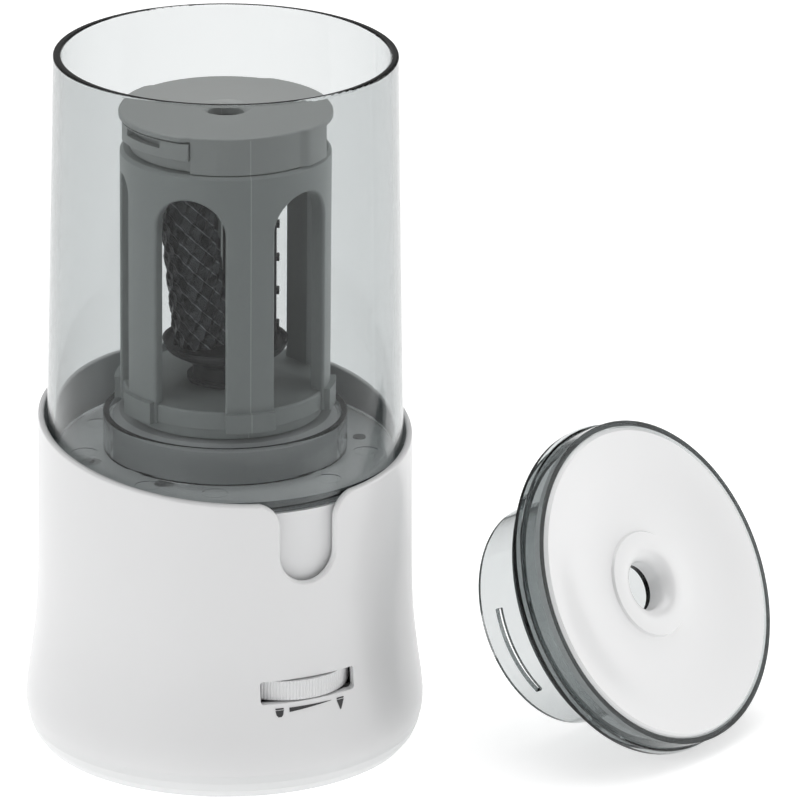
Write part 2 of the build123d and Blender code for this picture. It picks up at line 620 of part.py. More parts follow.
with BuildPart() as motor_end_cap:
    tube(MOTOR_R - 1.1, 1.0 + RUNNING_GAP, 21.5, 25.5, MOTOR_X, MOTOR_Y)
    tube(MOTOR_R - 0.2, MOTOR_R - 5, 21.5, 22.8, MOTOR_X, MOTOR_Y)
    tube(4.0, 1.0 + RUNNING_GAP, 19.6, 21.6, MOTOR_X, MOTOR_Y)
    for side in (-1, 1):
        block(MOTOR_X - 1.3, MOTOR_X + 1.3, MOTOR_Y + side * 8 - 0.3, MOTOR_Y + side * 8 + 0.3,
              17.0, 21.6)
keep(motor_end_cap.part, "motor_end_cap")

with BuildPart() as motor_magnets:
    tube(MOTOR_R - 1.1, MOTOR_R - 3.0, 28, 52, MOTOR_X, MOTOR_Y)
    block(MOTOR_X - 2, MOTOR_X + 2, MOTOR_Y - 20, MOTOR_Y + 20, 27, 53, Mode.SUBTRACT)
keep(motor_magnets.part, "motor_magnets")

with BuildPart() as motor_armature:
    tube(10.2, 1.0, 30, 50, MOTOR_X, MOTOR_Y)
    for slot in range(3):
        angle = 120 * slot + 30
        with Locations(Location((MOTOR_X, MOTOR_Y, 29), (0, 0, angle))):
            with Locations((8.0, 0, 0)):
                Box(8, 1.6, 22, align=BASE, mode=Mode.SUBTRACT)
    tube(3.4, 1.0, 26.4, 30.1, MOTOR_X, MOTOR_Y)
keep(motor_armature.part, "motor_armature")

with BuildPart() as motor_shaft:
    tube(1.0, 0, 19.8, 64.6, MOTOR_X, MOTOR_Y)
keep(motor_shaft.part, "motor_shaft")

with BuildPart() as motor_pinion:
    spur_gear(MOTOR_TEETH, motor_to_idler, LEVEL_A[0] - 0.4, LEVEL_A[1] + 0.2, MOTOR_X, MOTOR_Y)
    hole(1.0, 58, 66, MOTOR_X, MOTOR_Y)
keep(motor_pinion.part, "motor_pinion")

with BuildPart() as idler_gear:
    spur_gear(IDLER_BIG_TEETH, motor_to_idler + 180 + 180 / IDLER_BIG_TEETH,
              LEVEL_A[0], LEVEL_A[1], IDLER_X, IDLER_Y)
    spur_gear(IDLER_SMALL_TEETH, idler_to_output, LEVEL_A[1] - 0.1, LEVEL_B[1] + 0.1,
              IDLER_X, IDLER_Y)
    hole(1.25 + RUNNING_GAP, 58, 72, IDLER_X, IDLER_Y)
keep(idler_gear.part, "idler_gear")

with BuildPart() as idler_axle:
    tube(1.25, 0, 57.0, 70.6, IDLER_X, IDLER_Y)
    tube(2.0, 0, 70.4, 71.8, IDLER_X, IDLER_Y)
keep(idler_axle.part, "idler_axle")

with BuildPart() as output_gear:
    spur_gear(OUTPUT_TEETH, idler_to_output + 180 + 180 / OUTPUT_TEETH, LEVEL_B[0], LEVEL_B[1],
              0, 0)
    tube(6.0, 0, LEVEL_B[1] - 0.1, 78.9)
    tube(4.0, 0, 78.8, 89.6)
    hole(ROD_R + 0.35, 60, 92)
keep(output_gear.part, "output_gear")

with BuildPart() as drive_dog:
    with BuildSketch(Plane.XY.offset(86.3)):
        RegularPolygon(5.2, 6)
        Circle(4.0, mode=Mode.SUBTRACT)
    extrude(amount=3.3)
keep(drive_dog.part, "drive_dog")

with BuildPart() as gearbox_plate:
    block(-37, 9.5, -17.2, 7.3, 56, 58)
    tube(TUB_BORE_R - 0.4, 0, 55, 59, 0, 0, Mode.INTERSECT)
    hole(5.0 + 0.1, 55, 59, MOTOR_X, MOTOR_Y)
    tube(3.4, 0, 57.9, 59.6, 0, 0)
    hole(ROD_R + RUNNING_GAP, 55, 60)
    hole(1.25, 56.9, 59, IDLER_X, IDLER_Y)
    for screw_x, screw_y in [(-33.5, 5.0), (8.5, -14.0), (-24.0, -16.0)]:
        tube(2.3, 0, 57.9, DECK_LOW_Z - 0.05, screw_x, screw_y)
        hole(1.1, 64, 72, screw_x, screw_y)
keep(gearbox_plate.part, "gearbox_plate")

with BuildPart() as gearbox_screws:
    for screw_x, screw_y in [(-33.5, 5.0), (8.5, -14.0), (-24.0, -16.0)]:
        tube(1.1, 0, 64.2, 71.8, screw_x, screw_y)
        tube(2.3, 0, 71.7, 72.9, screw_x, screw_y)
        hole(0.7, 72.3, 73, screw_x, screw_y)
keep(gearbox_screws.part, "gearbox_screws")

# ====================================================================== dial and tip stop
with BuildPart() as tip_dial:
    with BuildSketch(Plane.XY.offset(DIAL_LOW_Z)):
        with BuildLine():
            rib_points = []
            for rib in range(DIAL_RIBS):
                for offset, radius in ((0.0, DIAL_R - DIAL_RIB_DEPTH), (0.3, DIAL_R), (0.7, DIAL_R)):
                    angle = 360 * (rib + offset) / DIAL_RIBS
                    rib_points.append((radius * cos_deg(angle), DIAL_Y + radius * sin_deg(angle)))
            Polyline(*rib_points, close=True)
        make_face()
    extrude(amount=DIAL_HIGH_Z - DIAL_LOW_Z)
    tube(5.2, 0, DIAL_HIGH_Z - 0.1, 33.2, 0, DIAL_Y)
    # stepped cam: each setting lifts the tip stop a little further
    for step in range(CAM_STEPS):
        middle = 90 + CAM_STEP_ANGLE * ((CAM_STEPS - 1) / 2 - step)
        half = CAM_STEP_ANGLE / 2
        with BuildSketch(Plane.XY.offset(DIAL_HIGH_Z - 0.1)) as tread:
            with BuildLine():
                start = (8.6 * cos_deg(middle - half), DIAL_Y + 8.6 * sin_deg(middle - half))
                end = (8.6 * cos_deg(middle + half), DIAL_Y + 8.6 * sin_deg(middle + half))
                Polyline(start, end, (4.9 * cos_deg(middle + half), DIAL_Y + 4.9 * sin_deg(middle + half)),
                         (4.9 * cos_deg(middle - half), DIAL_Y + 4.9 * sin_deg(middle - half)),
                         close=True)
            make_face()
        extrude(tread.sketch, amount=0.4 + CAM_RISE * step)
    hole(3.0 + RUNNING_GAP, 25, 34, 0, DIAL_Y)
keep(tip_dial.part, "tip_dial")

FOLLOWER_Y = DIAL_Y + 6.8
with BuildPart() as tip_stop_arm:
    block(-2.4, 2.4, FOLLOWER_Y, 0, 35.0, 37.2)
    tube(3.6, 0, 35.0, 38.6)
    tube(2.4, 0, 35.0, 37.2, 0, FOLLOWER_Y)
    tube(1.1, 0, 32.3, 35.1, 0, FOLLOWER_Y)
    hole(ROD_R, 34, 39)
keep(tip_stop_arm.part, "tip_stop_arm")

with BuildPart() as tip_stop_rod:
    tube(ROD_R, 0, 34.2, 100.0)
    turned([(0, 100), (ROD_R, 100), (ROD_R, 101.0), (0.5, 100.6), (0, 100.6)])
keep(tip_stop_rod.part, "tip_stop_rod")

# ====================================================================== switches and plungers
with BuildPart() as start_plunger:
    tube(PLUNGER_R, 0, 68.6, 85.5, START_X, 0)
    tube(2.6, 0, 68.6, 69.8, START_X, 0)
keep(start_plunger.part, "start_plunger")

with BuildPart() as safety_plunger:
    tube(PLUNGER_R, 0, 66.4, FLOOR_LOW_Z - 0.1, SAFETY_X, SAFETY_Y)
    tube(2.6, 0, 66.4, 67.4, SAFETY_X, SAFETY_Y)
keep(safety_plunger.part, "safety_plunger")


def switch_body(x, y, z_top):
    """Add a small snap-action switch with its spring seat on top and two legs below."""
    block(x - 4.0, x + 4.0, y - 3.0, y + 3.0, z_top - 7.0, z_top)
    tube(0.9, 0, z_top - 0.1, z_top + 0.5, x, y)
    for leg in (-2.5, 2.5):
        block(x + leg - 0.4, x + leg + 0.4, y - 0.3, y + 0.3, z_top - 9.5, z_top - 6.9)


with BuildPart() as start_switch:
    switch_body(START_X, 0, 65.0)
    block(START_X + 4.0, START_X + 7.0, -2.5, 2.5, 60, DECK_LOW_Z - 0.05)
keep(start_switch.part, "start_switch")

with BuildPart() as safety_switch:
    switch_body(SAFETY_X - 0.6, SAFETY_Y, 62.6)
    block(SAFETY_X - 7.0, SAFETY_X - 4.6, SAFETY_Y - 2.5, SAFETY_Y + 2.5, 58, DECK_LOW_Z - 0.05)
keep(safety_switch.part, "safety_switch")


def coil_spring(radius, wire_r, z_low, z_high, turns, x, y):
    """Add a compression spring standing on z_low."""
    height = z_high - z_low - 2 * wire_r
    with BuildLine() as path:
        Helix(pitch=height / turns, height=height, radius=radius,
              center=(x, y, z_low + wire_r))
    with BuildSketch(Plane(origin=path.line @ 0, z_dir=path.line % 0)) as wire:
        Circle(wire_r)
    sweep(wire.sketch, path=path.line)


with BuildPart() as start_spring:
    coil_spring(1.7, 0.25, 65.05, 68.55, 3, START_X, 0)
keep(start_spring.part, "start_spring")

with BuildPart() as safety_spring:
    coil_spring(1.7, 0.25, 62.65, 66.35, 3, SAFETY_X, SAFETY_Y)
keep(safety_spring.part, "safety_spring")

# ====================================================================== batteries
with BuildPart() as battery_cells:
    for index, (cell_x, cell_y) in enumerate(CELL_SPOTS):
        upright = index in (0, 3)
        body_low = 6.3 if upright else 7.4
        tube(CELL_R, 0, body_low, body_low + 49.3, cell_x, cell_y)
        nub_low = body_low + 49.2 if upright else 6.3
        tube(2.7, 0, nub_low, nub_low + 1.2, cell_x, cell_y)
keep(battery_cells.part, "battery_cells")

with BuildPart() as battery_case:
    block(-16.4, 16.4, 8.0, 40, 3.2, 58.6)
    tube(TUB_BORE_R - 0.4, 0, 3, 59, 0, 0, Mode.INTERSECT)
    block(-15.2, 15.2, 9.2, 45, 3, 57.4, Mode.SUBTRACT)
    hole(MOTOR_R + 0.5, 3, 60, MOTOR_X, MOTOR_Y)
keep(battery_case.part, "battery_case")

with BuildPart() as battery_top_contacts:
    for side in (-1, 1):
        block(side * 7.4 - 3.5, side * 7.4 + 3.5, 13.0, 34.0, 57.0, 57.3)
keep(battery_top_contacts.part, "battery_top_contacts")

with BuildPart() as door_contacts:
    for low_y in (13.0, 27.6):
        block(-11, 11, low_y, low_y + 7, 2.85, 3.15)
    for cell_x, cell_y in CELL_SPOTS:
        for ring_z, ring_r in ((3.4, 4.2), (4.3, 3.3), (5.2, 2.4)):
            tube(ring_r, ring_r - 0.7, ring_z - 0.3, ring_z + 0.65, cell_x, cell_y)
keep(door_contacts.part, "door_contacts")

# ====================================================================== electronics
with BuildPart() as circuit_board:
    block(28.0, 29.4, -15.5, 13.0, 12, 52)
    for board_z in (16, 48):
        for board_y in (-12, 9.5):
            with Locations(Location((28.7, board_y, board_z), (0, 90, 0))):
                Cylinder(1.2, 4, mode=Mode.SUBTRACT)
keep(circuit_board.part, "circuit_board")

with BuildPart() as board_parts:
    block(22.5, 27.95, -9, 1, 36, 47)
    block(25.5, 27.95, 3, 9, 20, 30)
    with Locations(Location((27.95, -5, 24), (0, -90, 0))):
        Cylinder(4.0, 5.5, align=BASE)
    for part_z in (31, 33.4):
        block(26.9, 27.95, -12, -8, part_z, part_z + 1.2)
keep(board_parts.part, "board_parts")


def lead(points, radius):
    """Add one insulated wire along a smooth path."""
    with BuildLine() as path:
        Spline(*points)
    with BuildSketch(Plane(origin=path.line @ 0, z_dir=path.line % 0)) as wire:
        Circle(radius)
    sweep(wire.sketch, path=path.line)


with BuildPart() as lead_wires:
    lead([(26.9, -11, 18), (20, -9, 14), (4, -6, 9), (-14, -12, 9), (-22, -10, 16.3)], 0.55)
    lead([(26.9, -7, 16), (21, -4, 10), (4, 2, 8), (-13, 5, 8.5), (-22, 6, 16.3)], 0.55)
    lead([(27.4, -2, 50), (25, -1, 54), (20, -1.2, 53), (19.5, 0, 54.9)], 0.5)
keep(lead_wires.part, "lead_wires")

# ====================================================================== lid, off and resting
lid_tilt = math.degrees(math.atan((LID_FLANGE_R - LID_COLLAR_R) / (LID_FLANGE_LOW - LID_COLLAR_END)))
LID_Z = LID_FLANGE_R * cos_deg(lid_tilt) - LID_FLANGE_LOW * sin_deg(lid_tilt)
LID_AXIS = (sin_deg(LID_TURN) * cos_deg(lid_tilt), -cos_deg(LID_TURN) * cos_deg(lid_tilt),
            sin_deg(lid_tilt))
LID_ACROSS = (cos_deg(LID_TURN), sin_deg(LID_TURN), 0)
LID_UP = tuple(Vector(LID_AXIS).cross(Vector(LID_ACROSS)))
# outlines for the lid are drawn as (radius, distance along its axis)
LID_PROFILE_PLANE = Plane(origin=(LID_X, LID_Y, LID_Z), x_dir=LID_ACROSS,
                          z_dir=tuple(-value for value in LID_UP))
LID_FACE_PLANE = Plane(origin=(LID_X, LID_Y, LID_Z), x_dir=LID_ACROSS, z_dir=LID_AXIS)
LID_SLOT_LOW = -28.9
LID_SLOT_HIGH = -27.2
LID_SLOT_TURN = 187.5
LID_SLOT_HALF_ANGLE = 24.3

with BuildPart() as lid_ring:
    turned([(LID_BAND_R, 0), (LID_BAND_R, -5.4), (41.5, -5.6), (41.5, -6.2), (40.7, -6.4),
            (40.7, -6.9), (LID_FLANGE_R, -7.1), (LID_FLANGE_R, LID_FLANGE_LOW),
            (39.2, LID_FLANGE_LOW), (39.2, -11.2), (37.6, -11.2), (37.6, LID_FLANGE_LOW),
            (26.2, LID_FLANGE_LOW), (26.2, -9.7), (6.4, -9.7), (6.4, LID_FLANGE_LOW),
            (24.6, LID_FLANGE_LOW), (24.6, -6.7), (39.6, -6.7), (39.6, 0)],
           plane=LID_PROFILE_PLANE)
keep(lid_ring.part, "lid_ring")

with BuildPart() as lid_collar:
    turned([(LID_COLLAR_R, LID_FLANGE_LOW), (LID_COLLAR_R, LID_COLLAR_END),
            (LID_COLLAR_BORE_R, LID_COLLAR_END), (LID_COLLAR_BORE_R, LID_FLANGE_LOW)],
           plane=LID_PROFILE_PLANE)
    with BuildSketch(LID_FACE_PLANE.offset(LID_SLOT_LOW)):
        with BuildLine():
            CenterArc((0, 0), 30, LID_SLOT_TURN - LID_SLOT_HALF_ANGLE, 2 * LID_SLOT_HALF_ANGLE)
            CenterArc((0, 0), 24, LID_SLOT_TURN - LID_SLOT_HALF_ANGLE, 2 * LID_SLOT_HALF_ANGLE)
            for angle in (LID_SLOT_TURN - LID_SLOT_HALF_ANGLE, LID_SLOT_TURN + LID_SLOT_HALF_ANGLE):
                Line((24 * cos_deg(angle), 24 * sin_deg(angle)),
                     (30 * cos_deg(angle), 30 * sin_deg(angle)))
        make_face()
    extrude(amount=LID_SLOT_HIGH - LID_SLOT_LOW, mode=Mode.SUBTRACT)
keep(lid_collar.part, "lid_collar")

with BuildPart() as lid_dish:
    with BuildSketch(LID_PROFILE_PLANE) as dish_half:
        with BuildLine():
            # shallow dish, a small step up to the middle, then the flared mouth of the guide
            Spline((38.4, 0.4), (34.0, -0.3), (29.0, -1.3), (24.0, -2.15), (19.0, -2.6),
                   (15.5, -2.6), (13.5, -2.35))
            Line((13.5, -2.35), (13.1, -1.75))
            Spline((13.1, -1.75), (11.0, -1.55), (9.2, -1.6), (7.6, -2.2), (6.6, -3.3), (6.2, -4.6),
                   tangents=[(-1, 0.1), (0, -1)])
            Polyline((6.2, -4.6), (6.2, -8.1), (7.6, -8.1), (7.8, -5.0), (9.4, -3.8), (13.2, -3.6),
                     (17.0, -4.4), (23.0, -4.3), (30.0, -3.1), (36.5, -1.7), (37.6, -2.6),
                     (39.3, -2.6), (39.3, -0.5), (38.4, 0.4))
        make_face()
    revolve(dish_half.sketch, axis=Axis(LID_PROFILE_PLANE.origin, LID_PROFILE_PLANE.y_dir))
keep(lid_dish.part, "lid_dish")
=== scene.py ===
import bpy
import json
import math
from mathutils import Matrix, Vector


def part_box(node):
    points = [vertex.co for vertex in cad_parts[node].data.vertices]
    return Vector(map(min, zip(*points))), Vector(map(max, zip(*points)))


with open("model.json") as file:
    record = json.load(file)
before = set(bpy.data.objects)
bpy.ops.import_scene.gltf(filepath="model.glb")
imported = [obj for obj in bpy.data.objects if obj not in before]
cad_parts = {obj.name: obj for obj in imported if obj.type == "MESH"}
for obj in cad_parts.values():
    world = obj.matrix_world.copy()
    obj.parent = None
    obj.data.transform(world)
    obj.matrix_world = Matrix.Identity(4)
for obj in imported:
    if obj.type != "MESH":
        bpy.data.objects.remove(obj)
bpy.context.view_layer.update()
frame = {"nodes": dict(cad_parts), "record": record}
MM = 0.001

CAMERA_AZIMUTH, CAMERA_ELEVATION, CAMERA_ROLL = -27.5, 20.0, 0.6    # degrees
CAMERA_DISTANCE = 1.8
AIM_RIGHT, AIM_HEIGHT = 0.04266, 0.08731    # metres from the origin to the middle of the view
SENSOR_WIDTH = 36         # millimetres
FOCAL_PIXELS, IMAGE_WIDTH = 7370.6, 800     # focal length and frame width, both in pixels

CLEAR_IOR = 1.49
CLEAR_TINT = (0.99, 0.995, 0.995, 1)
SMOKE = (0.02, 0.075, 0.08, 1)
VEIL = (0.4, 0.4, 0.4, 1)                   # holds back the clear parts' mirror-like veil
BUMP_HEIGHT = 0.2 * MM
CUTTER_FLUTES = 11
CUTTER_TWIST = 7.1        # degrees per millimetre
CUTTER_START = 47.8       # millimetres from the pivot down to the first section
CREST_HIGHLIGHT_WIDTH = 0.12        # share of a flute's pitch over which its painted edge highlight fades
CAGE_TURN = -102.4        # direction of the cage's front strut, degrees round from +X
SEAM_HALF_WIDTH = 0.11 * MM
SEAM_DROP = 0.6 * MM      # how far below the cap's top the moulding line ends
CORNER_RADIUS = 0.3 * MM
COLOUR_A, COLOUR_B, COLOUR_OUT = 6, 7, 2    # colour sockets of a Mix node

FLOOR_HALF_SIZE = 6.0
FLOOR_DROP = 0.2 * MM
FLOOR_GLOW = 0.56
WORLD_LIGHT = 0.27
KEY_POWER = 4.8
TOP_POWER = 12.5
FILL_POWER = 7.0
LIGHT_BOUNCES = 16


# ---------------------------------------------------------------- camera
def make_camera():
    azimuth, elevation, roll = (math.radians(a) for a in (CAMERA_AZIMUTH, CAMERA_ELEVATION, CAMERA_ROLL))
    back = Vector((math.sin(azimuth) * math.cos(elevation), -math.cos(azimuth) * math.cos(elevation),
                   math.sin(elevation)))
    right = Vector((math.cos(azimuth), math.sin(azimuth), 0))
    place = right * AIM_RIGHT + Vector((0, 0, AIM_HEIGHT)) + back * CAMERA_DISTANCE
    data = bpy.data.cameras.new("camera")
    data.sensor_width = SENSOR_WIDTH
    data.lens = SENSOR_WIDTH * FOCAL_PIXELS / IMAGE_WIDTH
    data.clip_start, data.clip_end = 0.05, 30
    camera = bpy.data.objects.new("camera", data)
    bpy.context.scene.collection.objects.link(camera)
    up = back.cross(right)
    turned_right = right * math.cos(roll) + up * math.sin(roll)
    turned_up = up * math.cos(roll) - right * math.sin(roll)
    camera.matrix_world = Matrix((
        (turned_right.x, turned_up.x, back.x, place.x),
        (turned_right.y, turned_up.y, back.y, place.y),
        (turned_right.z, turned_up.z, back.z, place.z),
        (0, 0, 0, 1)))
    bpy.context.scene.camera = camera


make_camera()


# ---------------------------------------------------------------- materials
def node_material(name):
    material = bpy.data.materials.new(name)
    material.use_nodes = True
    tree = material.node_tree
    return material, tree, tree.nodes["Principled BSDF"]


def set_sockets(node, **values):
    for socket, value in values.items():
        node.inputs[socket.replace("_", " ")].default_value = value


def new_node(tree, kind, **values):
    node = tree.nodes.new("ShaderNode" + kind)
    set_sockets(node, **values)
    return node


def grain(tree, scale, detail=3.0):
    coords = new_node(tree, "TexCoord")
    noise = new_node(tree, "TexNoise", Scale=scale, Detail=detail)
    tree.links.new(coords.outputs["Object"], noise.inputs["Vector"])
    return noise


def math_node(tree, operation, *values):
    """A Math node's output; each value is a number or another node's output."""
    step = tree.nodes.new("ShaderNodeMath")
    step.operation = operation
    for socket, value in zip(step.inputs, values):
        if isinstance(value, (int, float)):
            socket.default_value = value
        else:
            tree.links.new(value, socket)
    return step.outputs["Value"]


def along(tree, vector, direction):
    """How far a vector output reaches in a fixed direction."""
    dot = tree.nodes.new("ShaderNodeVectorMath")
    dot.operation = "DOT_PRODUCT"
    dot.inputs[1].default_value = direction
    tree.links.new(vector, dot.inputs[0])
    return dot.outputs["Value"]


def vary_roughness(tree, shader, noise, low, high):
    span = new_node(tree, "MapRange", To_Min=low, To_Max=high)
    tree.links.new(noise.outputs["Fac"], span.inputs["Value"])
    tree.links.new(span.outputs["Result"], shader.inputs["Roughness"])


def add_bump(tree, shader, noise, strength):
    bump = new_node(tree, "Bump", Strength=strength, Distance=BUMP_HEIGHT)
    tree.links.new(noise.outputs["Fac"], bump.inputs["Height"])
    tree.links.new(bump.outputs["Normal"], shader.inputs["Normal"])


def ramp(tree, noise, low, high):
    steps = tree.nodes.new("ShaderNodeValToRGB")
    stops = steps.color_ramp.elements
    stops[0].position, stops[0].color = 0.3, (*low, 1)
    stops[1].position, stops[1].color = 0.7, (*high, 1)
    tree.links.new(noise.outputs["Fac"], steps.inputs["Fac"])
    return steps


def plastic(name, low, high, roughness, spread=0.06, bump=0.06, coat=0.0, coat_roughness=0.1, mottle=25,
            sheen=0.0):
    """Moulded plastic: a slightly mottled tone, uneven gloss and, where bump isn't 0, a fine grain."""
    material, tree, shader = node_material(name)
    tone = ramp(tree, grain(tree, mottle, 4), low, high)
    tree.links.new(tone.outputs["Color"], shader.inputs["Base Color"])
    vary_roughness(tree, shader, grain(tree, mottle * 2.4, 5), roughness - spread, roughness + spread)
    if bump:
        add_bump(tree, shader, grain(tree, 900, 2), bump)
    set_sockets(shader, Coat_Weight=coat, Coat_Roughness=coat_roughness, Sheen_Weight=sheen)
    return material


def metal(name, low, high, roughness):
    material, tree, shader = node_material(name)
    noise = grain(tree, 400, 2)
    tone = ramp(tree, noise, low, high)
    tree.links.new(tone.outputs["Color"], shader.inputs["Base Color"])
    set_sockets(shader, Metallic=1.0, Roughness=roughness)
    add_bump(tree, shader, noise, 0.1)
    return material


def smoke_clear(name, density, roughness=0.015):
    """Clear moulding: a refracting solid whose smoke tint builds up with thickness.

    Lamps reach what stands inside it through a plain transparent shader."""
    material, tree, shader = node_material(name)
    set_sockets(shader, Base_Color=CLEAR_TINT, Transmission_Weight=1.0, IOR=CLEAR_IOR, Specular_Tint=VEIL)
    vary_roughness(tree, shader, grain(tree, 45, 4), 0.0, roughness * 2)
    output = tree.nodes["Material Output"]
    absorb = new_node(tree, "VolumeAbsorption", Color=SMOKE, Density=density)
    tree.links.new(absorb.outputs["Volume"], output.inputs["Volume"])
    open_way = new_node(tree, "BsdfTransparent", Color=CLEAR_TINT)
    path = new_node(tree, "LightPath")
    mix = new_node(tree, "MixShader")
    tree.links.new(path.outputs["Is Shadow Ray"], mix.inputs["Fac"])
    tree.links.new(shader.outputs["BSDF"], mix.inputs[1])
    tree.links.new(open_way.outputs["BSDF"], mix.inputs[2])
    tree.links.new(mix.outputs["Shader"], output.inputs["Surface"])
    return material


def cutter_metal(name):
    """Dark steel with a painted highlight along its cutting edges, which wind round the cutter's own axis.
    """
    spin = next(joint for joint in frame["record"]["behaviour"]["joints"] if joint["name"] == "cutter_spin")
    axis = Vector(spin["axis"]).normalized()
    lean = math.hypot(axis.x, axis.y)
    across = Vector((axis.x / lean * axis.z, axis.y / lean * axis.z, -lean))
    material, tree, shader = node_material(name)
    coords = new_node(tree, "TexCoord")
    from_pivot = tree.nodes.new("ShaderNodeVectorMath")
    from_pivot.operation = "SUBTRACT"
    from_pivot.inputs[1].default_value = spin["pos_m"]
    tree.links.new(coords.outputs["Object"], from_pivot.inputs[0])
    offset = from_pivot.outputs["Vector"]

    flutes_per_mm = CUTTER_FLUTES * CUTTER_TWIST / 360
    turn = math_node(tree, "ARCTAN2", along(tree, offset, axis.cross(across)), along(tree, offset, across))
    wound = math_node(tree, "MULTIPLY_ADD", along(tree, offset, axis), flutes_per_mm / MM,
                      flutes_per_mm * CUTTER_START)
    crest = math_node(tree, "FRACT",
                      math_node(tree, "MULTIPLY_ADD", turn, CUTTER_FLUTES / math.tau, wound))
    # painted highlight: each flute's crest is painted light steel that fades to dark steel across the flute
    painted_edge_highlight = tree.nodes.new("ShaderNodeValToRGB")
    stops = painted_edge_highlight.color_ramp.elements
    stops[0].position, stops[0].color = 0.0, (0.24, 0.25, 0.26, 1)
    stops[1].position, stops[1].color = CREST_HIGHLIGHT_WIDTH, (0.05, 0.052, 0.055, 1)
    tree.links.new(crest, painted_edge_highlight.inputs["Fac"])
    wear = ramp(tree, grain(tree, 300, 3), (0.75, 0.75, 0.75), (1, 1, 1))
    blend = tree.nodes.new("ShaderNodeMix")
    blend.data_type, blend.blend_type = "RGBA", "MULTIPLY"
    blend.inputs["Factor"].default_value = 1.0
    tree.links.new(painted_edge_highlight.outputs["Color"], blend.inputs[COLOUR_A])
    tree.links.new(wear.outputs["Color"], blend.inputs[COLOUR_B])
    tree.links.new(blend.outputs[COLOUR_OUT], shader.inputs["Base Color"])
    set_sockets(shader, Metallic=1.0, Roughness=0.36)
    return material


def seam_plastic(name, low, high, roughness, seam_highlight):
    """Satin plastic with softly lit corners and a fine moulding line down its front and back; the line is a
    real seam whose lighter tone is a painted highlight for its ridge.
    """
    material = plastic(name, low, high, roughness, spread=0.03, bump=0.0)
    tree = material.node_tree
    shader = tree.nodes["Principled BSDF"]
    corner = new_node(tree, "Bevel", Radius=CORNER_RADIUS)
    corner.samples = 4
    tree.links.new(corner.outputs["Normal"], shader.inputs["Normal"])
    coords = new_node(tree, "TexCoord")
    angle = math.radians(CAGE_TURN)
    off_plane = along(tree, coords.outputs["Object"], (-math.sin(angle), math.cos(angle), 0))
    near = math_node(tree, "COMPARE", off_plane, 0.0, SEAM_HALF_WIDTH)
    height = new_node(tree, "SeparateXYZ")
    tree.links.new(coords.outputs["Object"], height.inputs["Vector"])
    below_top = math_node(tree, "LESS_THAN", height.outputs["Z"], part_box("cage_cap")[1][2] - SEAM_DROP)
    seam_highlight_mask = math_node(tree, "MULTIPLY", near, below_top)
    # partly painted highlight: the moulding line is real, its lighter tone stands for the light caught on
    # its ridge
    blend = tree.nodes.new("ShaderNodeMix")
    blend.data_type = "RGBA"
    tree.links.new(seam_highlight_mask, blend.inputs["Factor"])
    tree.links.new(shader.inputs["Base Color"].links[0].from_socket, blend.inputs[COLOUR_A])
    blend.inputs[COLOUR_B].default_value = (*seam_highlight, 1)
    tree.links.new(blend.outputs[COLOUR_OUT], shader.inputs["Base Color"])
    return material


WHITE = plastic("shell_white", (0.80, 0.802, 0.806), (0.808, 0.81, 0.814), 0.3, spread=0.03, bump=0.03,
                coat=0.3, coat_roughness=0.14)
PLATE_WHITE = plastic("plate_white", (0.78, 0.79, 0.79), (0.81, 0.815, 0.82), 0.34, coat=0.15)
INNER_WHITE = plastic("inner_white", (0.8, 0.805, 0.81), (0.81, 0.815, 0.82), 0.45)
DIAL_WHITE = plastic("dial_white", (0.78, 0.785, 0.79), (0.82, 0.825, 0.83), 0.38, bump=0.1)
LID_WHITE = plastic("lid_white", (0.87, 0.872, 0.875), (0.88, 0.882, 0.885), 0.26, spread=0.02, coat=0.3,
                    coat_roughness=0.1, bump=0.0)
# last colour: the moulding line's lighter tone, a painted highlight
CAGE_GREY = seam_plastic("cage_grey", (0.31, 0.33, 0.326), (0.32, 0.34, 0.336), 0.4, (0.48, 0.50, 0.495))
CAP_GREY = seam_plastic("cap_grey", (0.35, 0.363, 0.358), (0.36, 0.373, 0.368), 0.4, (0.50, 0.515, 0.51))
DARK = plastic("dark_plastic", (0.022, 0.022, 0.023), (0.034, 0.034, 0.036), 0.36, bump=0.12)
TURRET_DARK = plastic("turret_grey", (0.40, 0.41, 0.415), (0.42, 0.43, 0.435), 0.42, bump=0.05)
RUBBER = plastic("black_rubber", (0.018, 0.018, 0.018), (0.03, 0.03, 0.03), 0.75, bump=0.3, sheen=0.2)
ACETAL = plastic("acetal", (0.7, 0.69, 0.63), (0.76, 0.75, 0.7), 0.4)
BLACK = plastic("black_moulding", (0.02, 0.02, 0.02), (0.035, 0.035, 0.035), 0.45, bump=0.15)
SYMBOL = plastic("symbol_print", (0.03, 0.03, 0.032), (0.04, 0.04, 0.042), 0.5)
CELL = plastic("cell_sleeve", (0.03, 0.045, 0.06), (0.045, 0.06, 0.08), 0.25, coat=0.3)
BOARD = plastic("board_green", (0.012, 0.085, 0.035), (0.02, 0.11, 0.05), 0.35, mottle=220)
COMPONENT = plastic("component_black", (0.012, 0.012, 0.012), (0.02, 0.02, 0.02), 0.4)
WIRE = plastic("wire_red", (0.3, 0.015, 0.015), (0.38, 0.02, 0.02), 0.4)
STEEL = metal("plated_steel", (0.5, 0.5, 0.5), (0.62, 0.62, 0.62), 0.28)
CUTTER = cutter_metal("cutter_steel")
BRONZE = metal("bronze", (0.42, 0.26, 0.1), (0.55, 0.36, 0.16), 0.35)
FERRITE = metal("ferrite", (0.06, 0.06, 0.065), (0.1, 0.1, 0.1), 0.5)
CLEAR = smoke_clear("smoke_clear", 165)
FLOOR_CLEAR = smoke_clear("floor_clear", 2)
COLLAR_CLEAR = smoke_clear("collar_clear", 20, 0.008)
LID_CLEAR = smoke_clear("lid_clear", 380)
LID_COLLAR_CLEAR = smoke_clear("lid_collar_clear", 300)

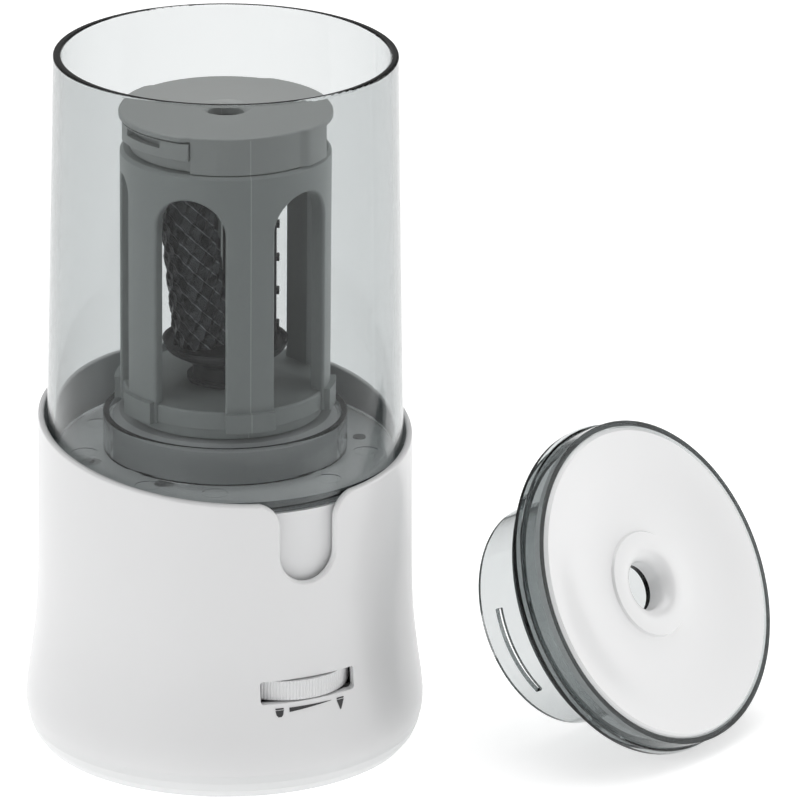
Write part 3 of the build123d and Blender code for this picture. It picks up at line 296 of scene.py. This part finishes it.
FINISH = {
    "base_shell": WHITE, "base_plate": PLATE_WHITE, "battery_door": PLATE_WHITE, "inner_tub": INNER_WHITE,
    "tip_dial": DIAL_WHITE, "lid_dish": LID_WHITE, "container_wall": CLEAR, "container_floor": FLOOR_CLEAR,
    "lid_ring": LID_CLEAR, "lid_collar": LID_COLLAR_CLEAR, "floor_collar": COLLAR_CLEAR,
    "cutter_cage": CAGE_GREY, "cage_cap": CAP_GREY, "drive_turret": TURRET_DARK,
    "cutter_carrier": DARK, "carrier_cap": DARK, "tip_stop_arm": DARK, "drive_dog": DARK,
    "helical_cutter": CUTTER, "cutter_pinion": STEEL, "cutter_axle": STEEL, "motor_shaft": STEEL,
    "tip_stop_rod": STEEL, "idler_axle": STEEL, "base_screws": STEEL, "gearbox_screws": STEEL,
    "motor_can": STEEL, "battery_top_contacts": STEEL, "door_contacts": STEEL, "start_spring": STEEL,
    "safety_spring": STEEL, "ring_gear": ACETAL, "idler_gear": ACETAL, "output_gear": ACETAL,
    "output_bush": BRONZE, "motor_pinion": BRONZE, "rubber_feet": RUBBER, "dial_symbols": SYMBOL,
    "motor_end_cap": BLACK, "battery_case": BLACK, "gearbox_plate": BLACK, "start_plunger": BLACK,
    "safety_plunger": BLACK, "motor_magnets": FERRITE, "motor_armature": FERRITE, "battery_cells": CELL,
    "circuit_board": BOARD, "board_parts": COMPONENT, "start_switch": COMPONENT, "safety_switch": COMPONENT,
    "lead_wires": WIRE,
}


def paint(obj, material):
    obj.data.materials.clear()
    obj.data.materials.append(material)


for node_name, obj in frame["nodes"].items():
    paint(obj, FINISH[node_name])


# ---------------------------------------------------------------- light and floor
def area_light(name, place, aim, width, height, power):
    """A rectangular lamp at a place, turned towards a point."""
    light = bpy.data.lights.new(name, "AREA")
    light.shape = "RECTANGLE"
    light.size, light.size_y = width, height
    light.energy = power
    holder = bpy.data.objects.new(name, light)
    bpy.context.scene.collection.objects.link(holder)
    holder.location = place
    holder.rotation_euler = (Vector(aim) - Vector(place)).to_track_quat("-Z", "Y").to_euler()


def make_stage():
    """Pale glowing floor, even sky and three large soft lamps."""
    size = FLOOR_HALF_SIZE
    floor_mesh = bpy.data.meshes.new("floor")
    floor_mesh.from_pydata([(-size, -size, 0), (size, -size, 0), (size, size, 0), (-size, size, 0)], [],
                           [(0, 1, 2, 3)])
    floor = bpy.data.objects.new("floor", floor_mesh)
    bpy.context.scene.collection.objects.link(floor)
    floor.location.z = -FLOOR_DROP
    material, tree, shader = node_material("floor_white")
    tone = ramp(tree, grain(tree, 2, 2), (0.86, 0.86, 0.86), (0.88, 0.88, 0.88))
    tree.links.new(tone.outputs["Color"], shader.inputs["Base Color"])
    set_sockets(shader, Roughness=0.8, Specular_IOR_Level=0.0, Emission_Color=(1, 1, 1, 1),
                Emission_Strength=FLOOR_GLOW)
    paint(floor, material)
    world = bpy.data.worlds.new("studio")
    bpy.context.scene.world = world
    world.use_nodes = True
    set_sockets(world.node_tree.nodes["Background"], Color=(1, 1, 1, 1), Strength=WORLD_LIGHT)
    area_light("key", (-1.5, -0.3, 0.7), (0, 0, 0.1), 0.9, 1.0, KEY_POWER)
    area_light("top", (0.1, 0.3, 1.5), (0.03, 0, 0), 1.4, 1.4, TOP_POWER)
    area_light("fill", (1.4, -0.45, 0.45), (0.03, 0, 0.06), 1.1, 1.1, FILL_POWER)


make_stage()
scene = bpy.context.scene
scene.view_settings.view_transform = "Standard"
scene.cycles.use_denoising = True
scene.cycles.max_bounces = LIGHT_BOUNCES
scene.cycles.transmission_bounces = LIGHT_BOUNCES
scene.cycles.transparent_max_bounces = LIGHT_BOUNCES
